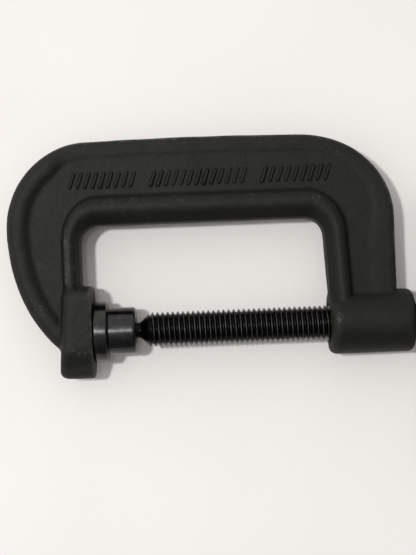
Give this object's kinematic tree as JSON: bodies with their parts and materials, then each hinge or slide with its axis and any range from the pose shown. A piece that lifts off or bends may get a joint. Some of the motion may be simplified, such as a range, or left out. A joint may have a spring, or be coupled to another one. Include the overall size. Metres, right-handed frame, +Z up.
{
  "type": "c clamp",
  "caption": "Drop-forged C-shaped clamp lying flat and screwed shut: beaded frame with flat anvil, tapped boss, black screw, hat-shaped swivel pad and sliding T-bar.",
  "frame": {"origin": "centre of the bounding box's bottom face, with the clamp lying flat as in the picture; the anvil face meets the screw's axis at (-0.0672, -0.01365, 0.0143)", "axes": "+X along the screw from the anvil to the handle, +Y from the screw to the spine, +Z up out of the clamp's side"},
  "size_m": [0.21, 0.146, 0.0286],
  "materials": {
    "forging": "matte",
    "black_oxide": "satin",
    "spring_steel": "satin"
  },
  "bodies": {
    "clamp_frame": {"frame": "forging"},
    "ball_ring": {"pad_retaining_ring": "spring_steel"},
    "screw_body": {"screw": "black_oxide"},
    "pad_body": {"swivel_pad": "black_oxide"},
    "handle": {"handle_bar": "black_oxide", "handle_knob_a": "black_oxide", "handle_knob_b": "black_oxide"}
  },
  "joints": [
    {"name": "screw_travel", "type": "slide", "parent": "clamp_frame", "child": "ball_ring", "axis": [1, 0, 0], "range_m": [0, 0.08]},
    {"name": "screw_turn", "type": "hinge", "parent": "ball_ring", "child": "screw_body", "pos_m": [-0.0552, -0.01365, 0.0143], "axis": [1, 0, 0], "range_deg": [0, 12470]},
    {"name": "pad_spin", "type": "hinge", "parent": "ball_ring", "child": "pad_body", "pos_m": [-0.0552, -0.01365, 0.0143], "axis": [1, 0, 0], "continuous": true},
    {"name": "handle_slide", "type": "slide", "parent": "screw_body", "child": "handle", "axis": [0, 1, 0], "range_m": [-0.0345, 0.0345]}
  ],
  "couplings": [
    {"joint": "screw_travel", "follows": "screw_turn", "m_per_rad": 0.0003675}
  ]
}
